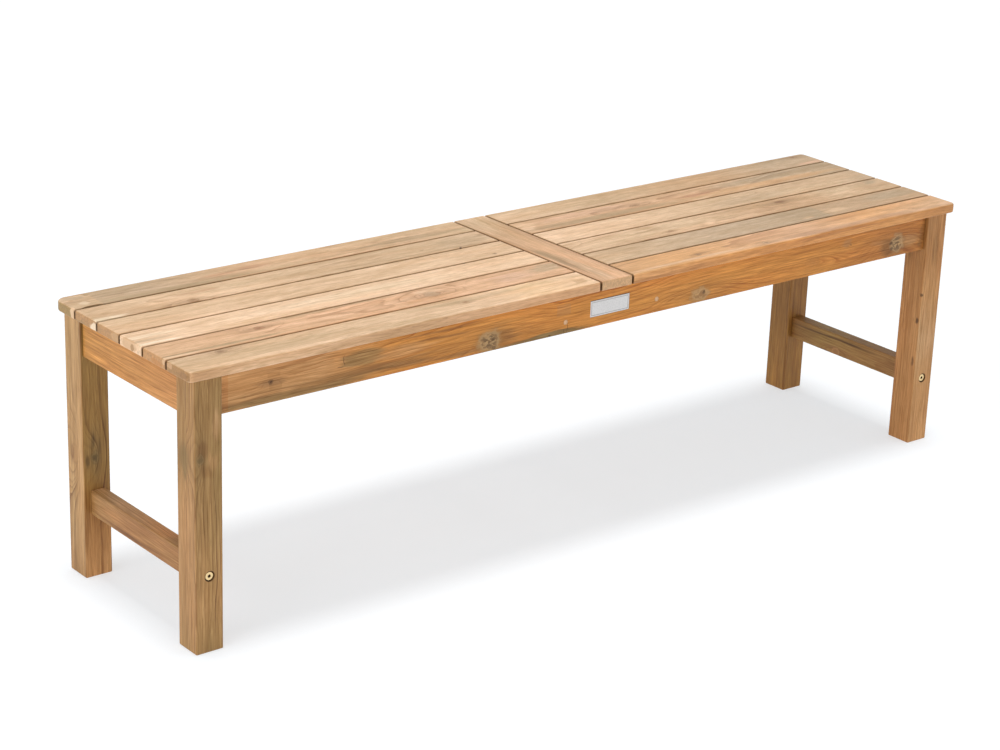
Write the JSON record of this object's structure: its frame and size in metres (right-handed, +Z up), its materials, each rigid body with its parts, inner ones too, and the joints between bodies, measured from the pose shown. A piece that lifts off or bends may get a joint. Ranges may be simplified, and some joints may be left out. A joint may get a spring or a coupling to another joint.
{
  "type": "backless bench",
  "caption": "Long backless garden bench in teak with a slatted seat, square legs, deep aprons, low end stretchers and bolted joints.",
  "frame": {"origin": "on the floor, under the middle of the seat", "axes": "+X along the bench towards its right end, +Y towards its rear, +Z up; the nameplate is on the -Y side"},
  "size_m": [1.6, 0.392, 0.452],
  "materials": {
    "slat_teak": "light sanded teak, oiled, satin",
    "apron_teak": "honey-coloured teak, oiled, satin",
    "leg_teak": "streaked brown teak, oiled, satin",
    "stretcher_teak": "brown teak, oiled, satin",
    "rail_teak": "planed teak, unfinished",
    "dowel_wood": "light end grain",
    "brass": "bright brass plating",
    "zinc_steel": "zinc plated",
    "brushed_aluminium": "brushed, blank"
  },
  "bodies": {
    "root": {"slat_left_1": "slat_teak", "slat_left_2": "slat_teak", "slat_left_3": "slat_teak", "slat_left_4": "slat_teak", "slat_left_5": "slat_teak", "slat_left_6": "slat_teak", "slat_right_1": "slat_teak", "slat_right_2": "slat_teak", "slat_right_3": "slat_teak", "slat_right_4": "slat_teak", "slat_right_5": "slat_teak", "slat_right_6": "slat_teak", "centre_slat": "slat_teak", "apron_front": "apron_teak", "apron_rear": "apron_teak", "apron_left": "apron_teak", "apron_right": "apron_teak", "leg_front_left": "leg_teak", "leg_front_right": "leg_teak", "leg_rear_left": "leg_teak", "leg_rear_right": "leg_teak", "stretcher_left": "stretcher_teak", "stretcher_right": "stretcher_teak", "cross_rail_left": "rail_teak", "cross_rail_right": "rail_teak", "corner_brace_front_left": "rail_teak", "corner_brace_front_right": "rail_teak", "corner_brace_rear_left": "rail_teak", "corner_brace_rear_right": "rail_teak", "rail_dowel_front_left": "dowel_wood", "rail_dowel_front_right": "dowel_wood", "rail_dowel_rear_left": "dowel_wood", "rail_dowel_rear_right": "dowel_wood", "stretcher_bolt_front_left": "brass", "stretcher_bolt_front_right": "brass", "stretcher_bolt_rear_left": "brass", "stretcher_bolt_rear_right": "brass", "barrel_nut_front_left": "zinc_steel", "barrel_nut_front_right": "zinc_steel", "barrel_nut_rear_left": "zinc_steel", "barrel_nut_rear_right": "zinc_steel", "hanger_bolt_front_left": "zinc_steel", "hanger_bolt_front_right": "zinc_steel", "hanger_bolt_rear_left": "zinc_steel", "hanger_bolt_rear_right": "zinc_steel", "washer_front_left": "zinc_steel", "washer_front_right": "zinc_steel", "washer_rear_left": "zinc_steel", "washer_rear_right": "zinc_steel", "hanger_nut_front_left": "zinc_steel", "hanger_nut_front_right": "zinc_steel", "hanger_nut_rear_left": "zinc_steel", "hanger_nut_rear_right": "zinc_steel", "nameplate": "brushed_aluminium"}
  },
  "joints": []
}
